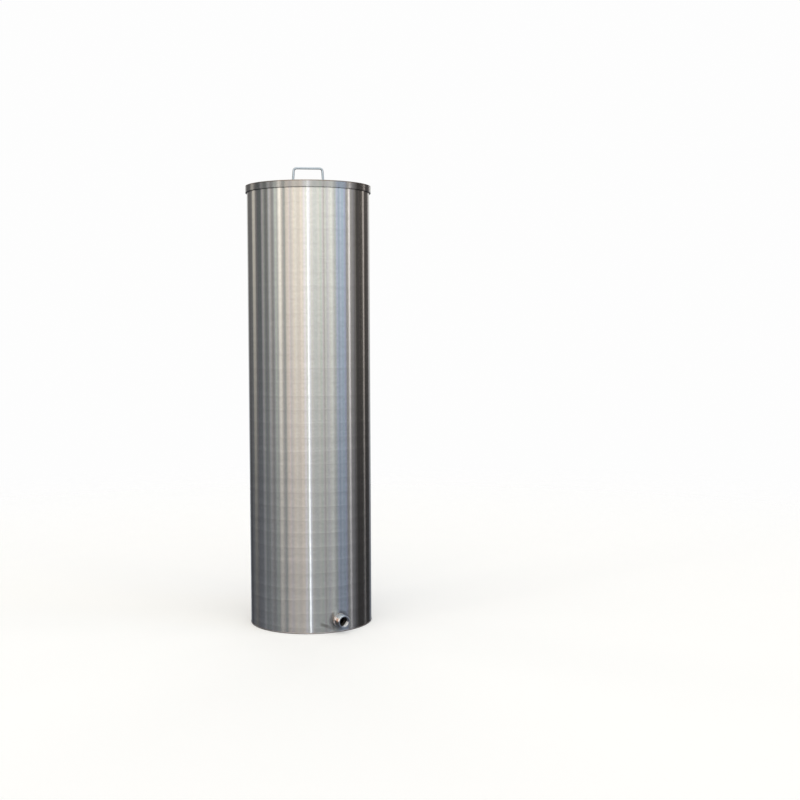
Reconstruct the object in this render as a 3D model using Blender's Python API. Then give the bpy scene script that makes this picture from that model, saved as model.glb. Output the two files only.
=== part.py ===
"""Slim upright stainless steel water tank with a slip-over lid.

Metres, +Z up. The origin is the centre of the base's underside, on the tank's axis, and the outlet
socket points along -Y. The lid lifts straight up, along +Z.
"""
import math

import bmesh
import bpy
from mathutils import Matrix, Vector

# Driving dimensions
TANK_HEIGHT = 2.150          # floor to the top face of the lid
WALL_RADIUS = 0.300          # outside of the wall
WALL_THICKNESS = 0.0015      # rolled stainless sheet
BASE_THICKNESS = 0.003
GIRTH_SEAM_HEIGHT = 1.058    # middle of the weld between the two courses
LID_RADIUS = 0.307           # outside of the skirt
LID_THICKNESS = 0.0015
LID_SKIRT_DEPTH = 0.0325     # top face of the lid to the lower edge of the skirt
LID_TURN = math.radians(-24.5)   # the lid can sit at any turn, and this is how it was put on
OUTLET_HEIGHT = 0.0575       # floor to the outlet's axis
OUTLET_REACH = 0.044         # wall to the end face of the socket
SOCKET_RADIUS = 0.030        # outside of a 1 1/2 inch threaded socket
BORE_RADIUS = 0.0232         # mean radius of its thread
HANDLE_FOOT_SPAN = 0.162     # across the outsides of the two feet
HANDLE_TOP_SPAN = 0.150      # across the outsides of the legs where they meet the bar
HANDLE_RISE = 0.096          # top face of the lid to the top of the bar
ROD_RADIUS = 0.0055
ROD_BEND_RADIUS = 0.014      # centre line of the bends

# Fits, welds and edges
SEAT_GAP = 0.0003            # left between pieces that touch
SEAM_WELD_WIDTH = 0.005
GIRTH_WELD_HEIGHT = 0.004
WELD_ROOT_PROUD = 0.0005     # how far a butt weld stands proud inside the tank
BASE_WELD_PROUD = 0.0012
BASE_WELD_LOW = 0.0006       # lower edge of the base weld, clear of the floor
BASE_WELD_HIGH = 0.0052
RIM_BEAD_RADIUS = 0.004      # rolled rim inside the top of the wall
OUTLET_WELD_LEG = 0.0045
OUTLET_WELD_TOE = 0.001      # blunt edges of that weld
HANDLE_WELD_LEG = 0.004
SOCKET_INSIDE_REACH = 0.004  # how far the socket stands into the tank
SOCKET_CHAMFER = 0.0008
LID_EDGE_CHAMFER = 0.0005

# Facets
TURN_STEPS = 96              # around the tank
SOCKET_STEPS = 48
ROD_STEPS = 16
BEND_STEPS = 8
RIM_BEAD_STEPS = 8

# Heights and radii that follow
LID_UNDERSIDE = TANK_HEIGHT - LID_THICKNESS
RIM_HEIGHT = LID_UNDERSIDE - SEAT_GAP
WALL_FOOT = BASE_THICKNESS + SEAT_GAP
WALL_INNER_RADIUS = WALL_RADIUS - WALL_THICKNESS
SKIRT_INNER_RADIUS = LID_RADIUS - LID_THICKNESS
LOWER_COURSE = (WALL_FOOT, GIRTH_SEAM_HEIGHT - GIRTH_WELD_HEIGHT / 2 - SEAT_GAP)
UPPER_COURSE = (GIRTH_SEAM_HEIGHT + GIRTH_WELD_HEIGHT / 2 + SEAT_GAP, RIM_HEIGHT)

# Each course is built in quarters, named by the way they face. One meeting line of each course is its
# real vertical seam, on the side away from the outlet, and the two seams are staggered.
QUARTERS = {"front": 270.0, "right": 0.0, "back": 90.0, "left": 180.0}
LOWER_SEAM_ANGLE = 45.0
UPPER_SEAM_ANGLE = 135.0

# Colour, roughness and metallic value of each kind of steel
BRUSHED_WALL = ((0.60, 0.59, 0.56), 0.34, 1.0)
PLAIN_SHEET = ((0.56, 0.56, 0.55), 0.38, 1.0)
GROUND_WELD = ((0.52, 0.51, 0.49), 0.42, 1.0)
TINTED_WELD = ((0.40, 0.35, 0.29), 0.50, 1.0)
TURNED_STEEL = ((0.55, 0.55, 0.56), 0.30, 1.0)
DRAWN_ROD = ((0.50, 0.53, 0.57), 0.28, 1.0)


def clear_scene():
    """Remove whatever the file holds."""
    for old in list(bpy.data.objects):
        bpy.data.objects.remove(old, do_unlink=True)


def steel(name, finish):
    """A Principled steel of the given colour, roughness and metallic value."""
    colour, roughness, metallic = finish
    material = bpy.data.materials.new(name)
    material.use_nodes = True
    shader = material.node_tree.nodes["Principled BSDF"]
    shader.inputs["Base Color"].default_value = (*colour, 1.0)
    shader.inputs["Roughness"].default_value = roughness
    shader.inputs["Metallic"].default_value = metallic
    return material


def add_object(name, mesh, finish, parent=None):
    """Put a mesh in the scene as a named piece with its own material."""
    mesh.materials.clear()
    mesh.materials.append(steel(name + "_steel", finish))
    piece = bpy.data.objects.new(name, mesh)
    bpy.context.collection.objects.link(piece)
    piece.parent = parent
    return piece


def add_cutter(name, mesh):
    """Put a mesh in the scene as a Boolean cutter that isn't part of the tank."""
    cutter = bpy.data.objects.new(name, mesh)
    bpy.context.collection.objects.link(cutter)
    cutter.hide_render = True
    cutter.display_type = "WIRE"
    return cutter


def cut(piece, cutter):
    """Subtract the cutter from the piece."""
    modifier = piece.modifiers.new("cut_" + cutter.name, "BOOLEAN")
    modifier.operation = "DIFFERENCE"
    modifier.solver = "EXACT"
    modifier.object = cutter


def finished_mesh(name, mesh_edit):
    """Turn an edit mesh into a mesh with outward faces, smooth over its round parts."""
    bmesh.ops.recalc_face_normals(mesh_edit, faces=mesh_edit.faces)
    mesh = bpy.data.meshes.new(name)
    mesh_edit.to_mesh(mesh)
    mesh_edit.free()
    mesh.shade_smooth()
    mesh.set_sharp_from_angle(angle=math.radians(30.0))
    return mesh


def turned(name, profile, steps, start=0.0, end=360.0, turn=None):
    """A profile of (radius, height) points carried around Z from start to end, in degrees.

    A full turn closes on itself and a part turn gets two flat ends. turn places the result.
    """
    full_turn = end - start >= 360.0
    columns = steps if full_turn else steps + 1
    edit = bmesh.new()
    rings = []
    for column in range(columns):
        angle = math.radians(start + (end - start) * column / steps)
        ring = [edit.verts.new((radius * math.cos(angle), radius * math.sin(angle), height))
                for radius, height in profile]
        rings.append(ring)
    count = len(profile)
    for column in range(steps):
        here = rings[column]
        there = rings[(column + 1) % columns]
        for row in range(count):
            after = (row + 1) % count
            edit.faces.new((here[row], there[row], there[after], here[after]))
    if not full_turn:
        edit.faces.new(rings[0])
        edit.faces.new(rings[-1])
    if turn is not None:
        bmesh.ops.transform(edit, matrix=turn, verts=edit.verts)
    return finished_mesh(name, edit)


def disc(name, radius, low, high, steps):
    """A flat round plate between two heights."""
    edit = bmesh.new()
    place = Matrix.Translation((0.0, 0.0, (low + high) / 2))
    bmesh.ops.create_cone(edit, cap_ends=True, segments=steps, radius1=radius, radius2=radius,
                          depth=high - low, matrix=place)
    return finished_mesh(name, edit)


def flat_band(inner, outer, low, high):
    """The rectangular profile of a band between two radii and two heights."""
    return [(inner, low), (outer, low), (outer, high), (inner, high)]


def wall_quarter(name, facing, course, seam_angle):
    """A quarter of a wall course, cut short where it meets the course's seam weld."""
    plain_trim = math.degrees(SEAT_GAP / 2 / WALL_RADIUS)
    seam_trim = math.degrees((SEAM_WELD_WIDTH / 2 + SEAT_GAP) / WALL_RADIUS)
    start = facing - 45.0
    end = facing + 45.0
    start_trim = seam_trim if math.isclose(start % 360.0, seam_angle) else plain_trim
    end_trim = seam_trim if math.isclose(end % 360.0, seam_angle) else plain_trim
    profile = flat_band(WALL_INNER_RADIUS, WALL_RADIUS, *course)
    mesh = turned(name, profile, TURN_STEPS // 4, start + start_trim, end - end_trim)
    return add_object(name, mesh, BRUSHED_WALL)


def wall_course(prefix, course, seam_angle):
    """The four quarters of one course and the weld that closes it."""
    pieces = {side: wall_quarter(f"{prefix}_wall_{side}", facing, course, seam_angle)
              for side, facing in QUARTERS.items()}
    half_width = math.degrees(SEAM_WELD_WIDTH / 2 / WALL_RADIUS)
    profile = flat_band(WALL_INNER_RADIUS - WELD_ROOT_PROUD, WALL_RADIUS, *course)
    name = f"{prefix}_seam_weld"
    mesh = turned(name, profile, 2, seam_angle - half_width, seam_angle + half_width)
    add_object(name, mesh, GROUND_WELD)
    return pieces


def base():
    """The flat base plate and the weld along its edge."""
    add_object("base_plate", disc("base_plate", WALL_RADIUS, 0.0, BASE_THICKNESS, TURN_STEPS),
               PLAIN_SHEET)
    inner = WALL_RADIUS + SEAT_GAP
    outer = inner + BASE_WELD_PROUD
    slope = BASE_WELD_PROUD
    profile = [(inner, BASE_WELD_LOW), (outer, BASE_WELD_LOW + slope),
               (outer, BASE_WELD_HIGH - slope), (inner, BASE_WELD_HIGH)]
    add_object("base_weld", turned("base_weld", profile, TURN_STEPS), TINTED_WELD)


def girth_weld():
    """The weld between the two courses, ground flush outside and proud inside."""
    profile = flat_band(WALL_INNER_RADIUS - WELD_ROOT_PROUD, WALL_RADIUS,
                        GIRTH_SEAM_HEIGHT - GIRTH_WELD_HEIGHT / 2,
                        GIRTH_SEAM_HEIGHT + GIRTH_WELD_HEIGHT / 2)
    add_object("girth_weld", turned("girth_weld", profile, TURN_STEPS), GROUND_WELD)


def top_rim():
    """The rolled bead inside the top of the wall, which the lid rests on."""
    middle = WALL_INNER_RADIUS - WELD_ROOT_PROUD - SEAT_GAP - RIM_BEAD_RADIUS
    profile = []
    for step in range(RIM_BEAD_STEPS):
        angle = 2.0 * math.pi * step / RIM_BEAD_STEPS
        profile.append((middle + RIM_BEAD_RADIUS * math.cos(angle),
                        RIM_HEIGHT - RIM_BEAD_RADIUS + RIM_BEAD_RADIUS * math.sin(angle)))
    add_object("top_rim", turned("top_rim", profile, TURN_STEPS), PLAIN_SHEET)


def along_outlet():
    """Turn a piece made around Z so that its +Z runs out of the outlet, along -Y."""
    lift = Matrix.Translation((0.0, 0.0, OUTLET_HEIGHT))
    return lift @ Matrix.Rotation(math.radians(90.0), 4, "X")


def outlet(front_wall):
    """The threaded socket through the wall, its weld, and the hole that it passes through."""
    place = along_outlet()
    inner_end = WALL_INNER_RADIUS - SOCKET_INSIDE_REACH
    outer_end = WALL_RADIUS + OUTLET_REACH
    chamfer = SOCKET_CHAMFER
    profile = [(BORE_RADIUS, inner_end + chamfer), (BORE_RADIUS + chamfer, inner_end),
               (SOCKET_RADIUS - chamfer, inner_end), (SOCKET_RADIUS, inner_end + chamfer),
               (SOCKET_RADIUS, outer_end - chamfer), (SOCKET_RADIUS - chamfer, outer_end),
               (BORE_RADIUS + chamfer, outer_end), (BORE_RADIUS, outer_end - chamfer)]
    add_object("outlet_socket", turned("outlet_socket", profile, SOCKET_STEPS, turn=place),
               TURNED_STEEL)

    hole_radius = SOCKET_RADIUS + SEAT_GAP
    hole = disc("outlet_hole_cutter", hole_radius, inner_end, outer_end, SOCKET_STEPS)
    hole.transform(place)
    cut(front_wall, add_cutter("outlet_hole_cutter", hole))

    # The weld's root is cut back to the round wall, so that it sits on it like a saddle.
    toe = OUTLET_WELD_TOE
    weld = [(hole_radius, inner_end), (hole_radius + OUTLET_WELD_LEG, inner_end),
            (hole_radius + OUTLET_WELD_LEG, WALL_RADIUS + toe),
            (hole_radius + toe, WALL_RADIUS + OUTLET_WELD_LEG),
            (hole_radius, WALL_RADIUS + OUTLET_WELD_LEG)]
    bead = add_object("outlet_weld", turned("outlet_weld", weld, SOCKET_STEPS, turn=place),
                      TINTED_WELD)
    wall_space = disc("outlet_weld_cutter", WALL_RADIUS + SEAT_GAP, 0.0, 2 * OUTLET_HEIGHT, TURN_STEPS)
    cut(bead, add_cutter("outlet_weld_cutter", wall_space))


def lid_frame():
    """The empty that carries the lid, on the tank's axis and turned as the lid lies."""
    frame = bpy.data.objects.new("lid_frame", None)
    bpy.context.collection.objects.link(frame)
    frame.location = (0.0, 0.0, TANK_HEIGHT)
    frame.rotation_euler = (0.0, 0.0, LID_TURN)
    return frame


def lid(frame):
    """The lid's disc, skirt, edge weld and end seam, with heights counted from its top face."""
    disc_radius = SKIRT_INNER_RADIUS - SEAT_GAP
    add_object("lid_disc", disc("lid_disc", disc_radius, -LID_THICKNESS, 0.0, TURN_STEPS),
               BRUSHED_WALL, frame)

    skirt_top = -LID_THICKNESS - SEAT_GAP
    half_seam = math.degrees(SEAM_WELD_WIDTH / 2 / LID_RADIUS)
    trim = half_seam + math.degrees(SEAT_GAP / LID_RADIUS)
    skirt = flat_band(SKIRT_INNER_RADIUS, LID_RADIUS, -LID_SKIRT_DEPTH, skirt_top)
    mesh = turned("lid_skirt", skirt, TURN_STEPS, 90.0 + trim, 450.0 - trim)
    add_object("lid_skirt", mesh, BRUSHED_WALL, frame)
    mesh = turned("lid_seam_weld", skirt, 2, 90.0 - half_seam, 90.0 + half_seam)
    add_object("lid_seam_weld", mesh, GROUND_WELD, frame)

    corner = LID_EDGE_CHAMFER
    edge = [(SKIRT_INNER_RADIUS, -LID_THICKNESS), (LID_RADIUS, -LID_THICKNESS),
            (LID_RADIUS, -corner), (LID_RADIUS - corner, 0.0), (SKIRT_INNER_RADIUS, 0.0)]
    add_object("lid_edge_weld", turned("lid_edge_weld", edge, TURN_STEPS), GROUND_WELD, frame)


def handle_lean():
    """How far each leg of the handle leans inward, from upright."""
    rise = HANDLE_RISE - ROD_RADIUS - SEAT_GAP
    return math.atan2((HANDLE_FOOT_SPAN - HANDLE_TOP_SPAN) / 2, rise)


def handle_route():
    """The centre line of the bent rod: up one leg, across, and down the other."""
    foot = HANDLE_FOOT_SPAN / 2 - ROD_RADIUS
    bend_height = HANDLE_RISE - ROD_RADIUS - ROD_BEND_RADIUS
    lean = handle_lean()
    bend_start = foot - (bend_height + ROD_BEND_RADIUS * math.sin(lean) - SEAT_GAP) * math.tan(lean)
    bend_middle = bend_start - ROD_BEND_RADIUS * math.cos(lean)
    points = [Vector((foot, 0.0, SEAT_GAP))]
    for step in range(BEND_STEPS + 1):
        angle = lean + (math.pi / 2 - lean) * step / BEND_STEPS
        points.append(Vector((bend_middle + ROD_BEND_RADIUS * math.cos(angle), 0.0,
                              bend_height + ROD_BEND_RADIUS * math.sin(angle))))
    mirrored = [Vector((-point.x, 0.0, point.z)) for point in reversed(points)]
    return points + mirrored


def handle(frame):
    """The bent rod, with its feet cut level, and the weld bead at each foot."""
    route = handle_route()
    last = len(route) - 1
    across = Vector((0.0, 1.0, 0.0))
    edit = bmesh.new()
    rings = []
    for index, point in enumerate(route):
        along = (route[min(index + 1, last)] - route[max(index - 1, 0)]).normalized()
        if index in (0, last):
            along = Vector((0.0, 0.0, math.copysign(1.0, along.z)))
        inward = along.cross(across)
        ring = []
        for step in range(ROD_STEPS):
            angle = 2.0 * math.pi * step / ROD_STEPS
            ring.append(edit.verts.new(point + ROD_RADIUS * (math.cos(angle) * across
                                                             + math.sin(angle) * inward)))
        rings.append(ring)
    for here, there in zip(rings, rings[1:]):
        for step in range(ROD_STEPS):
            after = (step + 1) % ROD_STEPS
            edit.faces.new((here[step], there[step], there[after], here[after]))
    edit.faces.new(rings[0])
    edit.faces.new(rings[-1])
    add_object("handle_rod", finished_mesh("handle_rod", edit), DRAWN_ROD, frame)

    # The bead stands upright around a leaning leg, so its hole is wider by the lean.
    leg = HANDLE_WELD_LEG
    inner = ROD_RADIUS + SEAT_GAP + leg * math.tan(handle_lean())
    bead = [(inner, SEAT_GAP), (inner + leg, SEAT_GAP), (inner + leg * 0.7, SEAT_GAP + leg * 0.5),
            (inner + leg * 0.3, SEAT_GAP + leg * 0.85), (inner, SEAT_GAP + leg)]
    for side, direction in (("right", 1.0), ("left", -1.0)):
        name = "handle_weld_" + side
        foot = add_object(name, turned(name, bead, ROD_STEPS), TINTED_WELD, frame)
        foot.location = (direction * (HANDLE_FOOT_SPAN / 2 - ROD_RADIUS), 0.0, 0.0)


def build():
    """Make the whole tank."""
    clear_scene()
    base()
    lower = wall_course("lower", LOWER_COURSE, LOWER_SEAM_ANGLE)
    wall_course("upper", UPPER_COURSE, UPPER_SEAM_ANGLE)
    girth_weld()
    top_rim()
    outlet(lower["front"])
    frame = lid_frame()
    lid(frame)
    handle(frame)


build()
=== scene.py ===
"""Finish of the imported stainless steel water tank: smooth sheet, welds, thread, steel and a studio.

Metres, +Z up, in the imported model's own frame. The outlet socket points along -Y.
"""
import math
from collections import namedtuple

import bmesh
import bpy
import numpy as np
from mathutils import Matrix, Vector


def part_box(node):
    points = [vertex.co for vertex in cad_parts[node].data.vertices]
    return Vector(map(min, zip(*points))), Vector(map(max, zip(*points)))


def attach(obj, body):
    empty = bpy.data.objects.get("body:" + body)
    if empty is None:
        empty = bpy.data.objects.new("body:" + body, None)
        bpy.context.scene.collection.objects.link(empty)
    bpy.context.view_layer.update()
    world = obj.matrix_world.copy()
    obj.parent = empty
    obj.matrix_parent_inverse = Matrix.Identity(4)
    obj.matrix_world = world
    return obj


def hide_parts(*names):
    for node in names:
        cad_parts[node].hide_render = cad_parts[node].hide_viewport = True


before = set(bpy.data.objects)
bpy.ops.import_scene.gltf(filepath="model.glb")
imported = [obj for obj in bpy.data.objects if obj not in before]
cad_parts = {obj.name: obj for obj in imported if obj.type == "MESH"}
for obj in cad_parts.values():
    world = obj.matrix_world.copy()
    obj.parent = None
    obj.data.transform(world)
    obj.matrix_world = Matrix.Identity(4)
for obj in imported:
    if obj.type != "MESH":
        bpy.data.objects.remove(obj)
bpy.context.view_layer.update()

bl_info = {
    "name": "Water Tank Finish",
    "version": (1, 0, 0),
    "blender": (4, 5, 0),
    "location": "View3D > Sidebar > Water Tank",
    "description": "Builds the smooth sheet, welds, thread and handle of a stainless steel water tank",
    "category": "Object",
}

FULL_TURN = 2.0 * math.pi
DIAGONAL = 0.7                     # share of a lift at 45 degrees that goes outwards, and upwards
OUTLET_BEARING = 1.5 * math.pi     # the outlet points along -Y
MERGE_DISTANCE = 1e-6
SHEET_EASING = 0.0004              # how far the eased edge of a cut sheet reaches

_, BASE_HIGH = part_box("base_plate")
LOWER_LOW, LOWER_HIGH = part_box("lower_wall_back")
UPPER_LOW, UPPER_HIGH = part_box("upper_wall_back")
SOCKET_LOW, SOCKET_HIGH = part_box("outlet_socket")
SKIRT_LOW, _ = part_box("lid_skirt")
_, DISC_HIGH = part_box("lid_disc")
_, ROD_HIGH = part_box("handle_rod")


def length(name, description, default):
    """A property in metres."""
    return bpy.props.FloatProperty(name=name, description=description, default=default, unit="LENGTH",
                                   precision=5)


def angle(name, description, degrees):
    """A property in degrees, kept in radians."""
    return bpy.props.FloatProperty(name=name, description=description, default=math.radians(degrees),
                                   unit="ROTATION")


def factor(name, description, default):
    """A plain number."""
    return bpy.props.FloatProperty(name=name, description=description, default=default)


def colour(name, description, default):
    """A linear colour."""
    return bpy.props.FloatVectorProperty(name=name, description=description, default=default,
                                         subtype="COLOR", size=3, min=0.0, max=1.0)


class TankSizes(bpy.types.PropertyGroup):
    """Sizes of the tank, its welds and its fittings."""

    wall_radius: length("Wall Radius", "Outside of the wall", BASE_HIGH.x)
    wall_thickness: length("Wall Thickness", "Rolled sheet of the wall", 0.0015)
    base_thickness: length("Base Thickness", "Flat base plate", BASE_HIGH.z)
    wall_foot: length("Wall Foot", "Height of the wall's lower edge", LOWER_LOW.z)
    girth_height: length("Girth Weld Height", "Middle of the weld between the courses",
                         (LOWER_HIGH.z + UPPER_LOW.z) / 2)
    rim_height: length("Rim Height", "Top of the wall and its rolled rim", UPPER_HIGH.z)
    rim_radius: length("Rim Bead Radius", "Rolled bead inside the top of the wall", 0.004)
    butt_width: length("Butt Weld Width", "Ground band of a seam or girth weld", 0.006)
    butt_crown: length("Butt Weld Crown", "How far a ground weld stands proud outside", 0.00003)
    butt_root: length("Butt Weld Root", "How far a butt weld stands proud inside", 0.0005)
    lower_seam: angle("Lower Seam", "Bearing of the lower course's seam", 45.0)
    upper_seam: angle("Upper Seam", "Bearing of the upper course's seam", 135.0)

    outlet_height: length("Outlet Height", "Axis of the socket above the floor",
                          (SOCKET_LOW.z + SOCKET_HIGH.z) / 2)
    socket_radius: length("Socket Radius", "Outside of the socket", SOCKET_HIGH.x)
    socket_mouth: length("Socket Mouth", "Distance of the mouth from the tank's axis", -SOCKET_LOW.y)
    socket_root: length("Socket Root", "Distance of the inner end from the tank's axis", -SOCKET_HIGH.y)
    thread_radius: length("Thread Radius", "Mean radius of the pipe thread", 0.02318)
    thread_depth: length("Thread Depth", "Height of the thread from root to crest", 0.00148)
    thread_pitch: length("Thread Pitch", "Pipe thread of 11 turns to the inch", 0.002309)
    mouth_chamfer: length("Mouth Chamfer", "Chamfer at both ends of the thread", 0.0008)
    outlet_weld_leg: length("Outlet Weld Leg", "Fillet between the socket and the wall", 0.0045)

    lid_radius: length("Lid Radius", "Outside of the skirt", 0.307)
    lid_thickness: length("Lid Thickness", "Sheet of the lid", 0.0015)
    lid_top: length("Lid Top", "Top face of the lid", DISC_HIGH.z)
    skirt_foot: length("Skirt Foot", "Lower edge of the skirt", SKIRT_LOW.z)
    lid_turn: angle("Lid Turn", "How the lid was put on, about the tank's axis", -24.5)
    foot_span: length("Handle Foot Span", "Across the outsides of the handle's feet", 0.162)
    top_span: length("Handle Top Span", "Across the outsides of the legs under the bar", 0.150)
    rod_radius: length("Rod Radius", "Round rod of the handle", 0.0055)
    rod_bend: length("Rod Bend Radius", "Centre line of the handle's bends", 0.014)
    handle_top: length("Handle Top", "Top of the handle's bar", ROD_HIGH.z)
    handle_weld_leg: length("Handle Weld Leg", "Fillet around each foot of the handle", 0.004)


class TankFinish(bpy.types.PropertyGroup):
    """Colours and grain of the steel."""

    wall_colour: colour("Wall Steel", "Brushed wall", (0.62, 0.61, 0.58))
    lid_colour: colour("Lid Steel", "Brushed lid", (0.45, 0.445, 0.43))
    plain_colour: colour("Plain Sheet", "Mill finished sheet", (0.56, 0.56, 0.55))
    weld_colour: colour("Ground Weld", "Weld ground flush", (0.54, 0.53, 0.50))
    # Weld bead as laid, and also the painted highlight on the left of the outlet's weld
    bead_and_highlight_colour: colour("Tinted Weld", "Weld bead as laid", (0.66, 0.60, 0.58))
    foot_colour: colour("Foot Weld", "Weld along the foot of the wall", (0.40, 0.37, 0.36))
    turned_colour: colour("Turned Steel", "Thread of the socket", (0.57, 0.57, 0.58))
    rod_colour: colour("Drawn Rod", "Handle rod", (0.46, 0.52, 0.57))
    straw_colour: colour("Straw Tint", "Light patches of heat tint", (0.52, 0.42, 0.28))
    brown_colour: colour("Brown Tint", "Dark patches of heat tint", (0.26, 0.16, 0.10))
    copper_colour: colour("Copper Tint", "Spot of heat tint on the socket", (0.62, 0.34, 0.22))
    # Painted highlight along the socket's upper left cheek
    painted_cheek_highlight_colour: colour("Scale", "Pale scale of the weld on the socket's left", (0.94, 0.87, 0.84))
    # Grey oxide around the outlet. Also the colour of the painted reflection beside the socket, the painted
    # shade under the skirt and the painted shade on the socket's lower cheek
    oxide_and_shade_colour: colour("Smudge", "Grey oxide around the outlet", (0.20, 0.19, 0.18))
    dull_bead_colour: colour("Dull Weld", "Oxidised part of the outlet's weld", (0.34, 0.34, 0.35))
    blued_colour: colour("Blued Steel", "Outside of the socket", (0.63, 0.70, 0.77))
    # Painted shade deep in the socket's bore and on its upper inside
    painted_bore_shade_colour: colour("Bore Shade", "Dark residue deep in the socket's thread", (0.025, 0.022, 0.02))
    wall_roughness: factor("Wall Roughness", "Before the brushing stretches it", 0.19)
    belt_width: length("Belt Width", "Height of one pass of the brushing belt", 0.0652)
    belt_start: length("Belt Start", "Height where the first whole pass starts", 0.0271)
    belt_wander: factor("Belt Wander", "How far a pass strays up or down, in its own widths", 0.25)
    belt_contrast: factor("Belt Contrast", "How far the tone of a pass is from the mean", 0.010)


class StudioSetup(bpy.types.PropertyGroup):
    """Floor, cards and camera."""

    floor_colour: colour("Floor", "Plain pale floor", (0.88, 0.88, 0.87))
    floor_glow: factor("Floor Glow", "Light from under the floor's frosted sheet", 0.16)
    backdrop_colour: colour("Backdrop", "Plain pale backdrop", (0.985, 0.985, 0.985))
    overhead_colour: colour("Overhead", "Light from straight above", (1.0, 1.0, 1.0))
    overhead_level: factor("Overhead Level", "Brightness of the light from above", 1.15)
    card_level: factor("Card Level", "Brightness of all the cards", 1.0)
    camera_place: bpy.props.FloatVectorProperty(name="Camera Place", description="Where the camera stands",
                                                default=(-2.701, -5.358, 1.456), unit="LENGTH", size=3)
    camera_heading: angle("Camera Heading", "Level heading, from +X towards +Y", 58.971)
    camera_pitch: angle("Camera Pitch", "Below level", 3.405)
    camera_roll: angle("Camera Roll", "About the line of sight", -0.215)
    camera_lens: bpy.props.FloatProperty(name="Camera Lens", description="On a 36 mm sensor",
                                         default=54.33, unit="CAMERA")


# Surfaces

Surface = namedtuple("Surface", "points uv quads")


def grid_quads(rows, columns):
    """Corner numbers of the quads between neighbouring points of a grid."""
    number = np.arange(rows * columns).reshape(rows, columns)
    corners = [number[:-1, :-1], number[:-1, 1:], number[1:, 1:], number[1:, :-1]]
    return np.stack(corners, axis=-1)


def surface(points, uv, keep=None):
    """A grid of points with its brushing coordinates, less the quads that keep leaves out."""
    rows, columns = points.shape[:2]
    quads = grid_quads(rows, columns)
    quads = quads.reshape(-1, 4) if keep is None else quads[keep]
    return Surface(points.reshape(-1, 3), uv.reshape(-1, 2), quads)


def spread(first, second):
    """Two arrays as the last axis of one grid."""
    return np.stack(np.broadcast_arrays(first, second), axis=-1)


def polar(radius, bearing, height):
    """The point (r cos b, r sin b, h) for arrays of radius, bearing and height."""
    parts = np.broadcast_arrays(radius * np.cos(bearing), radius * np.sin(bearing), height)
    return np.stack(parts, axis=-1)


def run_length(profile):
    """Distance along a profile from its first point."""
    steps = np.linalg.norm(np.diff(profile, axis=0), axis=1)
    return np.concatenate([[0.0], np.cumsum(steps)])


def eased(corners, reach, steps=4):
    """An open profile with its inner corners eased.

    Each corner P between A and B on its two edges becomes the curve (1-t)^2 A + 2t(1-t) P + t^2 B, with
    a point of each edge kept beside it so that the flats stay flat.
    """
    beside = 1.4 * reach
    corners = np.asarray(corners, dtype=float)
    middle = corners[1:-1, None]
    before = corners[:-2, None] - middle
    after = corners[2:, None] - middle
    before /= np.linalg.norm(before, axis=-1, keepdims=True)
    after /= np.linalg.norm(after, axis=-1, keepdims=True)
    t = np.linspace(0.0, 1.0, steps + 1)[None, :, None]
    start = middle + before * reach
    end = middle + after * reach
    curve = (1 - t) ** 2 * start + 2 * t * (1 - t) * middle + t ** 2 * end
    curve = np.concatenate([middle + before * beside, curve, middle + after * beside], axis=1)
    return np.concatenate([corners[:1], curve.reshape(-1, 2), corners[-1:]])


def turned(profile, steps):
    """A (radius, height) profile carried around Z, brushed around the turn."""
    bearing = np.linspace(0.0, FULL_TURN, steps + 1)[:, None]
    points = polar(profile[:, 0], bearing, profile[:, 1])
    return surface(points, spread(bearing * profile[:, 0].max(), run_length(profile)))


def ribbon(first, second):
    """The narrow band between two lines of points."""
    points = np.stack([first, second])
    uv = spread(run_length(first), np.array([[0.0], [1.0]]))
    return surface(points, uv)


def tube(points, along, around):
    """A tube of rings, closed by drawing each end ring together at its middle."""
    first, last = points[:1], points[-1:]
    ends = [np.broadcast_to(ring.mean(axis=1, keepdims=True), ring.shape) for ring in (first, last)]
    uv = spread(along, around)
    return surface(np.concatenate([ends[0], points, ends[1]]), np.concatenate([uv[:1], uv, uv[-1:]]))


def moved(shapes, matrix):
    """Surfaces with their points carried by a matrix."""
    turn = np.array(matrix.to_3x3())
    shift = np.array(matrix.translation)
    return [shape._replace(points=shape.points @ turn.T + shift) for shape in shapes]


def bead(face, back, uv):
    """A weld's face and its hidden back, each a grid of points, with the bands along both edges."""
    return [surface(face, uv), surface(back, uv), ribbon(face[:, 0], back[:, 0]),
            ribbon(face[:, -1], back[:, -1])]


def ripples(bearing, count, across):
    """Height of a weld's ripples, 0 to 1: rounded waves whose crests curve back across the bead.

    The wave is 1 - |sin p|^1.5, where p is half the bearing times the count, less a lag that is greatest
    in the middle of the bead.
    """
    lag = 1.1
    phase = bearing * count / 2 - lag * np.sin(math.pi * across)
    return 1.0 - np.abs(np.sin(phase)) ** 1.5


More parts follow.
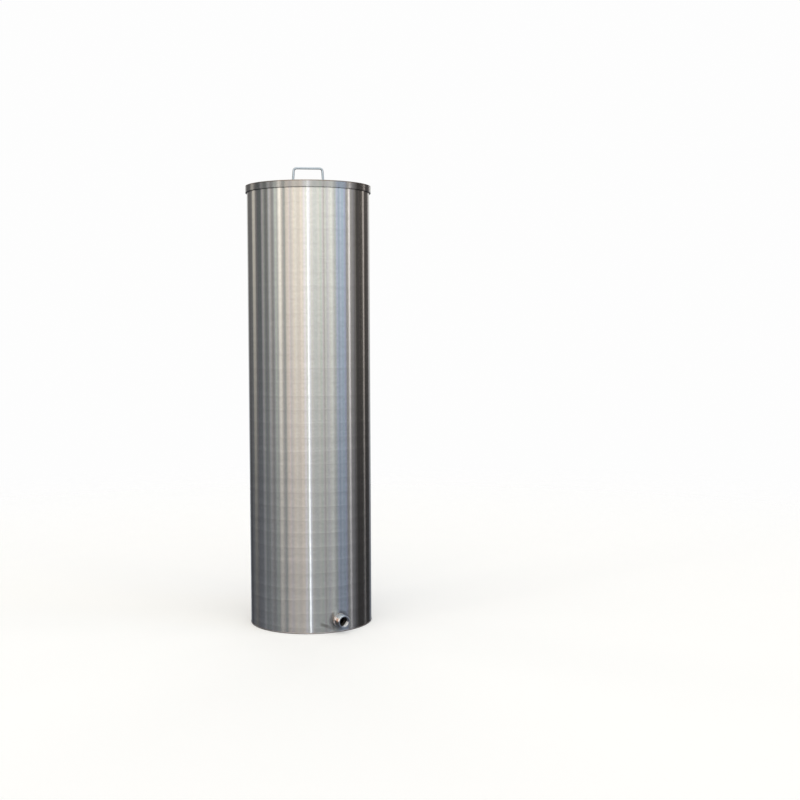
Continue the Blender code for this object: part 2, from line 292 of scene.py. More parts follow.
def add_piece(name, shapes, material, body, nodes, sharp=30.0):
    """Join surfaces into one closed mesh and let it stand for its CAD nodes on their body."""
    starts = np.cumsum([0] + [len(shape.points) for shape in shapes[:-1]])
    points = np.concatenate([shape.points for shape in shapes])
    uv = np.concatenate([shape.uv for shape in shapes])
    quads = np.concatenate([shape.quads + start for shape, start in zip(shapes, starts)])
    mesh = bpy.data.meshes.new(name)
    mesh.from_pydata(points, [], quads)
    layer = mesh.uv_layers.new(name="brushing")
    layer.data.foreach_set("uv", uv[quads.ravel()].ravel())
    form = bmesh.new()
    form.from_mesh(mesh)
    bmesh.ops.remove_doubles(form, verts=form.verts, dist=MERGE_DISTANCE)
    bmesh.ops.recalc_face_normals(form, faces=form.faces)
    form.to_mesh(mesh)
    form.free()
    mesh.shade_smooth()
    mesh.set_sharp_from_angle(angle=math.radians(sharp))
    mesh.materials.append(material)
    piece = bpy.data.objects.new(name, mesh)
    bpy.context.collection.objects.link(piece)
    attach(piece, body)
    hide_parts(*nodes)
    return piece


# Wall

WALL_COLUMNS = 256
WALL_LEVELS = 25
WINDOW_HALF = 8          # half of the window's columns, and of its rows, around the outlet
LEVELS_IN_WINDOW = 4     # levels of a plain course that the window's own rows replace
WINDOW_BLEND = np.array([0.0, 0.08, 0.2, 0.38, 0.65, 1.0])[:, None]


def square_loop(across, up):
    """The border of a grid as one closed line: along the bottom, up, back along the top and down."""
    x = np.concatenate([across[:-1], np.full(len(up) - 1, across[-1]), across[:0:-1],
                        np.full(len(up), across[0])])
    z = np.concatenate([np.full(len(across) - 1, up[0]), up[:-1], np.full(len(across) - 1, up[-1]),
                        up[:0:-1], up[:1]])
    return x, z


def window_patch(radius, bearings, heights, hole_radius, hole_height):
    """The wall between the round outlet hole and the square window left for it.

    Each point runs straight from the hole's edge to the window's border as the blend goes from 0 to 1,
    and lies on the round wall: y = -sqrt(r^2 - x^2).
    """
    edge_x, edge_z = square_loop(radius * np.sin(bearings - OUTLET_BEARING), heights)
    clock = np.arctan2(edge_z - hole_height, edge_x)
    hole_x = hole_radius * np.cos(clock)
    hole_z = hole_height + hole_radius * np.sin(clock)
    x = hole_x + (edge_x - hole_x) * WINDOW_BLEND
    z = hole_z + (edge_z - hole_z) * WINDOW_BLEND
    points = np.stack([x, -np.sqrt(radius ** 2 - x ** 2), z], axis=-1)
    return points, spread(radius * (OUTLET_BEARING + np.arcsin(x / radius)), z)


def wall_course(sizes, low, high, outlet):
    """One course of the wall as a closed sheet: both round faces and the edges that join them."""
    bearings = np.linspace(0.0, FULL_TURN, WALL_COLUMNS + 1)
    heights = np.linspace(low, high, WALL_LEVELS)
    keep = None
    if outlet:
        window_top = 2 * sizes.outlet_height - low
        window_rows = np.linspace(low, window_top, 2 * WINDOW_HALF + 1)
        heights = np.concatenate([window_rows, heights[LEVELS_IN_WINDOW:]])
        middle = round(WALL_COLUMNS * OUTLET_BEARING / FULL_TURN)
        window = slice(middle - WINDOW_HALF, middle + WINDOW_HALF)
        keep = np.ones((len(heights) - 1, WALL_COLUMNS), dtype=bool)
        keep[:2 * WINDOW_HALF, window] = False
    shapes = []
    faces = []
    holes = []
    for radius in (sizes.wall_radius, sizes.wall_radius - sizes.wall_thickness):
        points = polar(radius, bearings, heights[:, None])
        faces.append(points)
        shapes.append(surface(points, spread(bearings * radius, heights[:, None]), keep))
        if outlet:
            columns = bearings[window.start:window.stop + 1]
            patch, uv = window_patch(radius, columns, window_rows, sizes.socket_radius,
                                     sizes.outlet_height)
            holes.append(patch[0])
            shapes.append(surface(patch, uv))
    outer, inner = faces
    shapes += [ribbon(outer[0], inner[0]), ribbon(outer[-1], inner[-1])]
    if outlet:
        shapes.append(ribbon(*holes))
    return shapes


def butt_section(sizes):
    """Cross-section of a butt weld through the wall: an oval, flush outside and proud inside.

    Across it runs w cos t, and through the wall h |sin t|^0.5 with the sign of sin t.
    """
    t = np.linspace(0.0, FULL_TURN, 33)
    half_wall = sizes.wall_thickness / 2
    reach = np.where(np.sin(t) > 0, half_wall + sizes.butt_crown, half_wall + sizes.butt_root)
    through = np.sign(np.sin(t)) * np.abs(np.sin(t)) ** 0.5 * reach
    return sizes.butt_width / 2 * np.cos(t), through - half_wall


def seam_bar(sizes, radius, bearing, low, high):
    """A vertical butt weld: its section carried up the wall, with closed ends."""
    across, depth = butt_section(sizes)
    heights = np.linspace(low, high, 65)[:, None]
    points = polar(radius + depth, bearing + across / radius, heights)
    return [tube(points, heights, across)]


def girth_ring(sizes):
    """The level butt weld between the two courses."""
    across, depth = butt_section(sizes)
    profile = np.stack([sizes.wall_radius + depth, sizes.girth_height + across], axis=-1)
    return [turned(profile, WALL_COLUMNS)]


def base_disc(sizes):
    """The flat base plate, as a profile turned about its own axis."""
    radii = np.linspace(0.0, sizes.wall_radius, 9)[:-1]
    edge = eased([(radii[-1], 0.0), (sizes.wall_radius, 0.0), (sizes.wall_radius, sizes.base_thickness),
                  (radii[-1], sizes.base_thickness)], SHEET_EASING)
    low = np.stack([radii[:-1], np.zeros(len(radii) - 1)], axis=-1)
    high = np.stack([radii[-2::-1], np.full(len(radii) - 1, sizes.base_thickness)], axis=-1)
    return [turned(np.concatenate([low, edge, high]), WALL_COLUMNS)]


def base_bead(sizes):
    """The rippled weld along the foot of the wall, bulging outwards as a flattened half round."""
    crests = 940
    low, high, bulge = 0.0005, 0.0056, 0.0011
    seat, hidden = 0.0001, 0.0006
    bearing = np.linspace(0.0, FULL_TURN, 3 * crests + 1)[:, None]
    across = np.linspace(0.0, 1.0, 9)
    lift = bulge * np.sin(math.pi * across) ** 0.7 * (0.8 + 0.2 * ripples(bearing, crests, across))
    height = low + (high - low) * across
    face = polar(sizes.wall_radius - seat + lift, bearing, height)
    back = polar(sizes.wall_radius - hidden, bearing, height)
    return bead(face, back, spread(bearing * sizes.wall_radius, height))


def rolled_rim(sizes):
    """The round bead inside the top of the wall."""
    t = np.linspace(0.0, FULL_TURN, 25)
    inside = sizes.wall_radius - sizes.wall_thickness
    middle = inside - sizes.rim_radius
    profile = np.stack([middle + sizes.rim_radius * np.cos(t),
                        sizes.rim_height - sizes.rim_radius * (1.0 - np.sin(t))], axis=-1)
    return [turned(profile, WALL_COLUMNS)]


# Outlet

SOCKET_COLUMNS = 96


def outlet_place(sizes):
    """Turns a shape made around Z so that its +Z runs out of the outlet."""
    return Matrix.Translation((0.0, 0.0, sizes.outlet_height)) @ Matrix.Rotation(math.radians(90.0), 4, "X")


def socket_bore(sizes):
    """The threaded bore, and the radius of its opening.

    The thread's radius is its mean plus half its depth times cos(turns along less turns around), with
    crests and roots cut a little flat. A cone at each end opens the bore out, so the thread runs out into
    the chamfer.
    """
    run = sizes.socket_mouth - sizes.socket_root
    rows_per_turn = 12
    rows = int(run / sizes.thread_pitch * rows_per_turn)
    along = np.linspace(0.0, run, rows + 1)[:, None]
    bearing = np.linspace(0.0, FULL_TURN, SOCKET_COLUMNS + 1)
    phase = FULL_TURN * along / sizes.thread_pitch - bearing
    flattened = np.clip(1.15 * np.cos(phase), -1.0, 1.0)
    thread = sizes.thread_radius + sizes.thread_depth / 2 * flattened
    opening = sizes.thread_radius + sizes.mouth_chamfer
    cone = opening - np.minimum(along, run - along)
    radius = np.maximum(thread, cone)
    points = polar(radius, bearing, sizes.socket_root + along)
    return surface(points, spread(bearing * sizes.thread_radius, along)), opening


def socket_body(sizes, opening):
    """The turned outside of the socket, from the rim of the bore at one end to the other."""
    root, mouth, radius = sizes.socket_root, sizes.socket_mouth, sizes.socket_radius
    chamfer, easing = 0.0012, 0.0003
    profile = eased([(opening, root), (radius - chamfer, root), (radius, root + chamfer),
                     (radius, mouth - chamfer), (radius - chamfer, mouth), (opening, mouth)], easing)
    return turned(profile, SOCKET_COLUMNS)


def outlet_bead(sizes):
    """The saddle-shaped fillet around the socket.

    Its lower edge lies on the round wall, y = -sqrt(R^2 - x^2), its upper edge on the socket, and the
    face between them bulges by sin(pi t), with ripples.
    """
    crests, sunk, hidden = 72, 0.0002, 0.0008
    clock = np.linspace(0.0, FULL_TURN, 601)[:, None]
    across = np.linspace(0.0, 1.0, 13)
    leg = sizes.outlet_weld_leg
    inner = sizes.socket_radius - sunk
    outer = inner + leg
    radius = outer + (inner - outer) * across
    seat = np.sqrt(sizes.wall_radius ** 2 - (radius * np.cos(clock)) ** 2) - sunk
    lift = np.sin(math.pi * across) * (0.0012 + 0.0005 * ripples(clock, crests, across)) * DIAGONAL
    face = polar(radius + lift, clock, seat + leg * across + lift)
    back = polar(radius, clock, seat - hidden)
    return moved(bead(face, back, spread(clock * outer, across * leg)), outlet_place(sizes))


# Lid

LID_COLUMNS = 256


def lid_place(sizes):
    """The lid's own frame: its top face, turned as the lid was put on."""
    return Matrix.Translation((0.0, 0.0, sizes.lid_top)) @ Matrix.Rotation(sizes.lid_turn, 4, "Z")


def lid_plate(sizes):
    """The lid's disc, flat at its edge and very slightly uneven across.

    Its height is a sum of three slow waves across the sheet, less a slight sag, faded out towards the
    edge by 1 - (r / R)^6.
    """
    unevenness, sag = 0.00012, 0.0003
    edge = sizes.lid_radius - sizes.lid_thickness
    radius = np.concatenate([np.linspace(0.0, edge - 0.004, 49), [edge - 0.001, edge]])[:, None]
    bearing = np.linspace(0.0, FULL_TURN, LID_COLUMNS + 1)
    x = radius * np.cos(bearing)
    y = radius * np.sin(bearing)
    waves = np.sin(17.0 * x + 4.0 * y + 0.6) + 0.7 * np.sin(7.0 * x - 21.0 * y) + 0.5 * np.cos(31.0 * x)
    height = (unevenness * waves - sag) * (1.0 - (radius / edge) ** 6)
    top = np.stack([x, y, height], axis=-1)
    under = top - np.array([0.0, 0.0, sizes.lid_thickness])
    uv = spread(x, y)
    return moved([surface(top, uv), surface(under, uv), ribbon(top[-1], under[-1])], lid_place(sizes))


def lid_band(sizes):
    """The skirt: a plain upright band with eased edges."""
    inner, outer = sizes.lid_radius - sizes.lid_thickness, sizes.lid_radius
    low, high = sizes.skirt_foot, sizes.lid_top - sizes.lid_thickness
    start = (inner, (low + high) / 2)
    ring = [start, (inner, low), (outer, low), (outer, high), (inner, high), start]
    return [turned(eased(ring, SHEET_EASING), LID_COLUMNS)]


def lid_corner_bead(sizes):
    """The weld that joins disc and skirt, dressed to a soft round with faint ripples left in it."""
    crests, squareness, ripple = 640, 0.6, 0.05
    bearing = np.linspace(0.0, FULL_TURN, 3 * crests + 1)[:, None]
    t = np.linspace(0.0, FULL_TURN, 17)
    half = sizes.lid_thickness / 2
    wave = half * (1.0 - ripple * ripples(bearing, crests, 0.5))
    out, up = (wave * np.sign(part) * np.abs(part) ** squareness for part in (np.cos(t), np.sin(t)))
    points = polar(sizes.lid_radius - half + out, bearing, sizes.lid_top - half + up)
    return [surface(points, spread(bearing * sizes.lid_radius, t * half))]


def handle_route(sizes):
    """The handle's centre line: up a leaning leg, round, across, round and down the other leg.

    Straight runs are even steps between their ends, and each bend is part of a circle.
    """
    rise = sizes.handle_top - sizes.lid_top
    lean = math.atan2((sizes.foot_span - sizes.top_span) / 2, rise - sizes.rod_radius)
    foot = sizes.foot_span / 2 - sizes.rod_radius
    bend_height = rise - sizes.rod_radius - sizes.rod_bend
    bend_start = foot - (bend_height + sizes.rod_bend * math.sin(lean)) * math.tan(lean)
    middle = bend_start - sizes.rod_bend * math.cos(lean)
    turn = np.linspace(lean, math.pi / 2, 17)
    bend = np.stack([middle + sizes.rod_bend * np.cos(turn), bend_height + sizes.rod_bend * np.sin(turn)],
                    axis=-1)
    leg = np.linspace((foot, 0.0), bend[0], 12, endpoint=False)
    half = np.concatenate([leg, bend])
    bar = np.linspace(half[-1], half[-1] * (-1.0, 1.0), 14, endpoint=False)[1:]
    return np.concatenate([half, bar, half[::-1] * (-1.0, 1.0)]), lean


def handle_bar(sizes):
    """The bent round rod: a circle carried along the route, square to it, with level feet."""
    route, _ = handle_route(sizes)
    along = np.gradient(route, axis=0)
    along /= np.linalg.norm(along, axis=1, keepdims=True)
    along[0] = (0.0, 1.0)
    along[-1] = (0.0, -1.0)
    clock = np.linspace(0.0, FULL_TURN, 33)
    sideways = sizes.rod_radius * np.cos(clock)
    inward = sizes.rod_radius * np.sin(clock)
    x = route[:, :1] - along[:, 1:] * inward
    z = route[:, 1:] + along[:, :1] * inward
    points = np.stack([x, np.broadcast_to(sideways, x.shape), z], axis=-1)
    rod = tube(points, run_length(route)[:, None], sizes.rod_radius * clock)
    return moved([rod], lid_place(sizes))


def foot_bead(sizes, side):
    """The rippled fillet around one foot of the handle, following the leaning leg."""
    _, lean = handle_route(sizes)
    crests, hidden = 26, 0.0005
    clock = np.linspace(0.0, FULL_TURN, 241)[:, None]
    across = np.linspace(0.0, 1.0, 11)
    leg = sizes.handle_weld_leg
    lift = np.sin(math.pi * across) * (0.0005 + 0.0005 * ripples(clock, crests, across)) * DIAGONAL
    height = leg * across + lift
    face = polar(sizes.rod_radius + leg * (1.0 - across) + lift, clock, height)
    back = polar(sizes.rod_radius - hidden, clock, height * 0.9 - 0.0002)
    foot = sizes.foot_span / 2 - sizes.rod_radius
    for points in (face, back):
        points[..., 0] += side * (foot - points[..., 2] * math.tan(lean))
    return moved(bead(face, back, spread(clock * sizes.rod_radius, across * leg)), lid_place(sizes))


# Materials

def arithmetic(operation):
    """A method that gives an output, and what it is combined with, to a Math node."""
    return lambda first, second=0.0: first.graph.math(operation, first, second)


class Output:
    """An output of a shader node. Arithmetic on it adds Math nodes to the same tree."""

    def __init__(self, graph, socket):
        self.graph = graph
        self.socket = socket

    def __rsub__(self, other):
        return self.graph.math("SUBTRACT", other, self)

    __add__ = arithmetic("ADD")
    __sub__ = arithmetic("SUBTRACT")
    __mul__ = arithmetic("MULTIPLY")
    __truediv__ = arithmetic("DIVIDE")
    __abs__ = arithmetic("ABSOLUTE")


class Graph:
    """Adds nodes to a shader tree. Inputs are numbers, colours or other nodes' outputs."""

    def __init__(self, tree):
        self.tree = tree

    def feed(self, socket, value):
        """Link a socket to an output, or set it to a constant."""
        if isinstance(value, Output):
            self.tree.links.new(value.socket, socket)
        else:
            socket.default_value = value

    def feed_named(self, node, inputs):
        """Feed a node's inputs by their names."""
        for name, value in inputs.items():
            self.feed(node.inputs[name], value)

    def outputs(self, kind, *values, named=None, **settings):
        """Add a node, set its properties, feed its inputs and return all its outputs."""
        node = self.tree.nodes.new(kind)
        for key, value in settings.items():
            setattr(node, key, value)
        for socket, value in zip(node.inputs, values):
            self.feed(socket, value)
        self.feed_named(node, named or {})
        return [Output(self, socket) for socket in node.outputs]

    def add(self, kind, *values, output=0, **options):
        """Add a node and return one of its outputs."""
        return self.outputs(kind, *values, **options)[output]

    def math(self, operation, first, second=0.0, third=0.0):
        """A number from a Math node."""
        return self.add("ShaderNodeMath", first, second, third, operation=operation)

    def vector(self, operation, first, second=(0.0, 0.0, 0.0), **options):
        """What a Vector Math node makes of one or two vectors."""
        return self.add("ShaderNodeVectorMath", first, second, operation=operation, **options)

    def scaled(self, vector, amount):
        """A colour or a vector times a number."""
        return self.vector("SCALE", vector, named={"Scale": amount})

    def step(self, value, low, high, start=0.0, end=1.0):
        """A smooth step from start to end as the value goes from low to high."""
        return self.add("ShaderNodeMapRange", interpolation_type="SMOOTHSTEP",
                        named={"Value": value, "From Min": low, "From Max": high, "To Min": start,
                               "To Max": end})

    def around(self, value, middle, reach):
        """A value from 0 to 1 laid over middle - reach to middle + reach."""
        return self.add("ShaderNodeMapRange",
                        named={"Value": value, "To Min": middle - reach, "To Max": middle + reach})

    def noise(self, place, scale, detail=2.0):
        """Soft noise from 0 to 1, with a mean of a half and so many cells to the metre."""
        return self.add("ShaderNodeTexNoise",
                        named={"Vector": place, "Scale": scale, "Detail": detail})

    def streaks(self, place, sideways, upwards, detail=1.0):
        """Soft noise with so many cells to the metre sideways and upwards."""
        return self.noise(self.vector("MULTIPLY", place, (sideways, sideways, upwards)), 1.0, detail)

    def place(self):
        """The point's place on its object."""
        return self.add("ShaderNodeTexCoord", output=3)

    def apart(self, vector):
        """The x, y and z of a vector."""
        return self.outputs("ShaderNodeSeparateXYZ", vector)

    def distance(self, x, y):
        """sqrt(x^2 + y^2)."""
        return self.math("SQRT", x * x + y * y)

    def mix(self, amount, first, second, blend="MIX"):
        """Two colours mixed."""
        node = self.tree.nodes.new("ShaderNodeMix")
        node.data_type = "RGBA"
        node.blend_type = blend
        self.feed(node.inputs[0], amount)
        self.feed(node.inputs[6], first)
        self.feed(node.inputs[7], second)
        return Output(self, node.outputs[2])


def rgba(values):
    """A colour as a socket's four numbers."""
    return (*values, 1.0)


def coated(graph, colours, *coats):
    """Colours with others laid over them, each where its mask is 1."""
    for mask, coat in coats:
        colours = graph.mix(mask, colours, rgba(coat))
    return colours


def new_material(name):
    """An empty material with its graph and its shader."""
    material = bpy.data.materials.new(name)
    material.use_nodes = True
    return material, Graph(material.node_tree), material.node_tree.nodes["Principled BSDF"]


def new_steel(name, slot):
    """An empty metal material with its graph and its shader, for one slot of the record."""
    material, graph, shader = new_material(name)
    material["slot"] = slot
    shader.inputs["Metallic"].default_value = 1.0
    return material, graph, shader


ACROSS_THE_GRAIN = 0.25     # a quarter turn from the brushing map's first direction


def grain_along(graph, shader, turn=0.0, stretch=1.0):
    """Stretch the gloss along the brushing map's first direction, or a part of a turn away from it."""
    tangent = graph.add("ShaderNodeTangent", direction_type="UV_MAP", uv_map="brushing")
    graph.feed_named(shader, {"Tangent": tangent, "Anisotropic": stretch, "Anisotropic Rotation": turn})


# Cells of noise to the metre, sideways and upwards
WANDER_CELLS = (1.5, 9.0)
FINE_CELLS = (5.0, 900.0)
BROAD_CELLS = (2.0, 45.0)
MOTTLE_CELLS = (55.0, 95.0)
ROLLED_CELLS = (30.0, 0.6)

# Places in metres where a mark starts, and where it is full
BACK_FADE = (-0.15, 0.0)           # along Y; marks around the outlet are kept off the tank's back
OXIDE_FADE = (0.056, 0.038)        # from the outlet's axis
# Painted reflection of the socket on the wall to its left, and the streak beside it
REFLECTION_FADE = (0.062, 0.046)
LEFT_FADE = (-0.018, -0.032)       # along X
REFLECTION_STREAK_FADE = (0.013, 0.003)       # from the middle of the streak
REFLECTION_STREAK_END_FADE = (-0.104, -0.088)
FRONT_FADE = (-0.15, -0.20)        # along Y
FOOT_FADE = (0.0095, 0.0055)       # above the floor
CHEEK_FADE = (-0.009, -0.019)      # along X, on the socket's left cheek
# Painted highlight on the socket's left cheek, between these heights above the outlet's axis
CHEEK_HIGHLIGHT_LOW_FADE = (0.002, 0.008)    # above the outlet's axis
CHEEK_HIGHLIGHT_HIGH_FADE = (0.021, 0.015)
# Painted shade on the socket's lower left cheek
CHEEK_SHADE_FADE = (0.007, 0.001)
COPPER_FADE = (0.015, 0.005)       # from the middle of the copper spot
COPPER_SPOT = (-0.326, 0.008)      # that middle's Y, and its height above the outlet's axis
# Painted shade in the bore fades in between these depths
BORE_FADE = (0.003, 0.012)         # into the bore

# The painted reflection streak's line is z = h - drop - slope x, where h is the outlet's height
REFLECTION_STREAK_SLOPE = 0.386
REFLECTION_STREAK_DROP = 0.0493


def belt_passes(graph, height, place, finish):
    """The level passes of the belt: a random value from 0 to 1 for each, and how far up it a point is."""
    wander = graph.around(graph.streaks(place, *WANDER_CELLS), 0.0, finish.belt_wander)
    passes = (height - finish.belt_start) / finish.belt_width + wander
    number = graph.math("FLOOR", passes)
    value = graph.add("ShaderNodeTexWhiteNoise", noise_dimensions="1D", named={"W": number})
    return value, passes - number


def brushed_sheet(name, slot, steel, finish, sizes, marks):
    """Sheet brushed around the tank in level passes, with what marks(graph, colour, ...) adds.

    A pass is brightest at its lower edge and has a thin dark line at both. Handling makes all the level
    marks stronger towards the foot.
    """
    material, graph, shader = new_steel(name, slot)
    place = graph.place()
    x, y, z = graph.apart(place)
    value, within = belt_passes(graph, z, place, finish)
    edge = abs(within - 0.5) * 2.0
    slope = (1.0 - within * 2.0) * graph.around(value, 0.025, 0.009) * graph.step(z, 1.2, 1.6, 1.0, 0.25)
    fine = graph.around(graph.streaks(place, *FINE_CELLS, 2.0), 1.0, 0.05)
    broad = graph.around(graph.streaks(place, *BROAD_CELLS, 3.0), 0.0, 0.05)
    mottle = graph.around(graph.streaks(place, *MOTTLE_CELLS), 1.0, 0.07)
    handling = graph.step(z, 0.0, 2.2, 1.8, 0.75)
    levels = broad + slope + graph.step(edge, 0.88, 1.0, 0.0, -0.02)
    tone = (levels * handling + mottle) * fine * graph.around(value, 1.0, finish.belt_contrast)
    steel_colour, dullness = marks(graph, graph.scaled(tuple(steel), tone), (x, y, z), finish, sizes)
    graph.feed_named(shader, {
        "Base Color": steel_colour,
        "Roughness": graph.step(edge, 0.55, 0.95, 0.0, 0.008) + finish.wall_roughness + dullness,
        "Normal": rolled_normal(graph, place, value),
    })
    grain_along(graph, shader, ACROSS_THE_GRAIN)
    return material


def rolled_normal(graph, place, value):
    """The sheet's normal, swung a fraction of a degree around the tank by its rolling and each pass."""
    normal = graph.add("ShaderNodeNewGeometry", output=1)
    around = graph.vector("CROSS_PRODUCT", (0.0, 0.0, 1.0), normal)
    rolled = graph.around(graph.streaks(place, *ROLLED_CELLS), 0.0, 0.004)
    swing = rolled + graph.around(value, 0.0, 0.0006)
    return graph.vector("NORMALIZE", graph.vector("ADD", normal, graph.scaled(around, swing)))


def outlet_distance(graph, x, y, z, sizes):
    """Distance from the outlet's axis, pushed far away behind the tank."""
    return graph.distance(x, z - sizes.outlet_height) + graph.step(y, *BACK_FADE, 0.0, 5.0)


def wall_marks(graph, steel_colour, position, finish, sizes):
    """Grey oxide and a painted reflection of the socket around the outlet, a dull line at the foot,
    and a painted shade on the wall under the lid's skirt.
    """
    x, y, z = position
    away = outlet_distance(graph, x, y, z, sizes)
    left = graph.step(x, *LEFT_FADE)
    ring = graph.step(away, *OXIDE_FADE, 0.0, 0.8)
    # Painted reflection of the socket on the wall to its left: a dark smudge and a streak beside it
    painted_reflection = graph.step(away, *REFLECTION_FADE, 0.0, 0.95) * left
    off_reflection_streak = abs(z + (x * REFLECTION_STREAK_SLOPE + (REFLECTION_STREAK_DROP - sizes.outlet_height)))
    painted_reflection_streak = graph.step(off_reflection_streak, *REFLECTION_STREAK_FADE, 0.0, 0.8) * graph.step(x, *REFLECTION_STREAK_END_FADE)
    painted_reflection_streak = painted_reflection_streak * left * graph.step(y, *FRONT_FADE)
    patches = graph.step(graph.noise(graph.place(), 70.0, 3.0), 0.30, 0.60, 0.75, 1.0)
    # Grey oxide around the outlet, joined with the painted reflection of the socket
    dull = graph.math("MAXIMUM", ring, graph.math("MAXIMUM", painted_reflection, painted_reflection_streak)) * patches
    foot = graph.step(z, *FOOT_FADE, 0.0, 0.3)
    # Painted shade on the wall just under the lid's skirt, deeper towards the sides
    shade_to_sides = graph.step(abs(x), 0.05, 0.16, 0.4, 0.9)
    painted_shade_under_skirt = (shade_to_sides * graph.step(z, sizes.skirt_foot - 0.005, sizes.skirt_foot)
                 * graph.step(z, sizes.skirt_foot + 0.006, sizes.skirt_foot + 0.002))
    steel_colour = coated(graph, steel_colour, (dull, finish.oxide_and_shade_colour), (foot, finish.foot_colour),
                          (painted_shade_under_skirt, finish.oxide_and_shade_colour))
    return steel_colour, (dull + foot) * 0.06


def lid_marks(graph, steel_colour, position, finish, sizes):
    """Heat tint along the top edge of the skirt, and faint on the rim of the disc."""
    x, y, z = position
    top = (graph.step(z, sizes.lid_top - 0.0065, sizes.lid_top - 0.002, 0.0, 0.7)
           * graph.step(graph.distance(x, y), sizes.lid_radius - 0.009, sizes.lid_radius - 0.002))
    return coated(graph, steel_colour, (top, finish.brown_colour)), top * 0.1 + 0.07


def plain_steel(name, slot, steel, roughness, scales, strength=0.10):
    """Steel with fine streaks of a given strength, scales being cells per metre sideways and upwards."""
    material, graph, shader = new_steel(name, slot)
    place = graph.place()
    streaks = graph.streaks(place, *scales, 3.0)
    clouds = graph.noise(place, 22.0, 3.0)
    tone = graph.around(streaks, 1.0, strength) * graph.around(clouds, 1.0, strength)
    graph.feed_named(shader, {"Base Color": graph.scaled(tuple(steel), tone),
                              "Roughness": graph.around(clouds, roughness, strength / 2)})
    grain_along(graph, shader, stretch=0.6)
    return material


def laid_metal(graph, shader, place, colours):
    """Give a weld as laid its colours and its grainy gloss."""
    graph.feed_named(shader, {"Base Color": colours,
                              "Roughness": graph.around(graph.noise(place, 400.0), 0.37, 0.09)})


def tinted_bead(name, slot, steel, finish, tint):
    """Weld metal as laid, with patches of straw and brown heat tint of a given strength."""
    material, graph, shader = new_steel(name, slot)
    place = graph.place()
    patches = graph.noise(place, 60.0, 3.0)
    colours = coated(graph, rgba(steel), (graph.step(patches, 0.52, 0.68, 0.0, tint), finish.straw_colour),
                     (graph.step(patches, 0.46, 0.34, 0.0, tint), finish.brown_colour))
    laid_metal(graph, shader, place, colours)
    return material


def outlet_bead_steel(name, slot, finish, sizes):
    """The outlet's weld: dull grey, with a painted highlight of rosy tint on its left."""
    material, graph, shader = new_steel(name, slot)
    place = graph.place()
    x, _, z = graph.apart(place)
    patches = graph.noise(place, 90.0, 3.0)
    # Painted highlight on the left of the weld
    painted_highlight = graph.step(x, -0.016, -0.027) * graph.step(z - sizes.outlet_height, 0.026, 0.017)
    colours = coated(graph, rgba(finish.dull_bead_colour), (painted_highlight, finish.bead_and_highlight_colour),
                     (graph.step(patches, 0.48, 0.36, 0.0, 0.6), finish.brown_colour))
    laid_metal(graph, shader, place, colours)
    return material


def turned_socket(name, slot, finish, sizes):
    """Turned steel, blued outside by the weld's heat, with a copper spot and a bore full of shade.

    On the left cheek a painted highlight lies above a painted shade. Painted light reaches further into the
    bore on its lower right.
    """
    material, graph, shader = new_steel(name, slot)
    place = graph.place()
    x, y, z = graph.apart(place)
    up = z - sizes.outlet_height
    away = outlet_distance(graph, x, y, z, sizes)
    tool_marks = graph.noise(graph.vector("MULTIPLY", place, (20.0, 1500.0, 20.0)), 1.0, 2.0)

    outside = graph.step(away, sizes.socket_radius - 0.0022, sizes.socket_radius - 0.0012)
    cheek = graph.step(x, *CHEEK_FADE) * outside
    # Painted highlight along the upper left cheek: pale and far less metallic
    scale = cheek * graph.step(up, *CHEEK_HIGHLIGHT_LOW_FADE) * graph.step(up, *CHEEK_HIGHLIGHT_HIGH_FADE)
    # Painted shade on the lower half of the left cheek
    painted_cheek_shade = cheek * graph.step(up, *CHEEK_SHADE_FADE, 0.0, 0.85)
    spot_y, spot_up = COPPER_SPOT
    spot_place = (-sizes.socket_radius, spot_y, sizes.outlet_height + spot_up)
    spot = graph.step(graph.vector("DISTANCE", place, spot_place, output=1), *COPPER_FADE, 0.0, 0.9)

    # Painted shade in the bore: darker deeper in and on its upper inside, with painted light reaching
    # further in on the lower right
    inside = graph.step(away, sizes.thread_radius + 0.0012, sizes.thread_radius + 0.0006)
    painted_light_reach = graph.step(x, -0.006, 0.012, 0.0, 0.014) * graph.step(up, 0.012, -0.008)
    depth = graph.step(y + sizes.socket_mouth - painted_light_reach, *BORE_FADE)
    shade = graph.math("MAXIMUM", depth, graph.step(up, -0.006, 0.008, 0.0, 0.8))

    colours = coated(graph, rgba(finish.turned_colour), (outside, finish.blued_colour))
    colours = graph.scaled(colours, graph.around(tool_marks, 1.0, 0.15))
    colours = coated(graph, colours, (scale, finish.painted_cheek_highlight_colour), (painted_cheek_shade, finish.oxide_and_shade_colour),
                     (spot, finish.copper_colour), (shade * inside, finish.painted_bore_shade_colour))
    # Metallic drops where the painted highlight lies
    graph.feed_named(shader, {"Base Color": colours, "Metallic": 1.0 - scale * 0.8,
                              "Roughness": graph.around(tool_marks, 0.28, 0.06)})
    grain_along(graph, shader, ACROSS_THE_GRAIN, 0.7)
    return material


# Studio

# A card is a tall light or dark panel of the studio that the wall mirrors. Bearings run from the camera to
# its right, in degrees, and soft is the width of its faded edges. Later cards stand in front of earlier
# ones. Each has its brightness at the top and at the foot, its tint, and how low changes that tint at the
# foot.
Card = namedtuple("Card", "bearing width soft top foot tint low", defaults=((1.0, 1.0, 1.0),))

# A lamp multiplies the cards' light by its gain at one elevation, fading out over its reach.
Lamp = namedtuple("Lamp", "bearing width soft elevation reach gain")

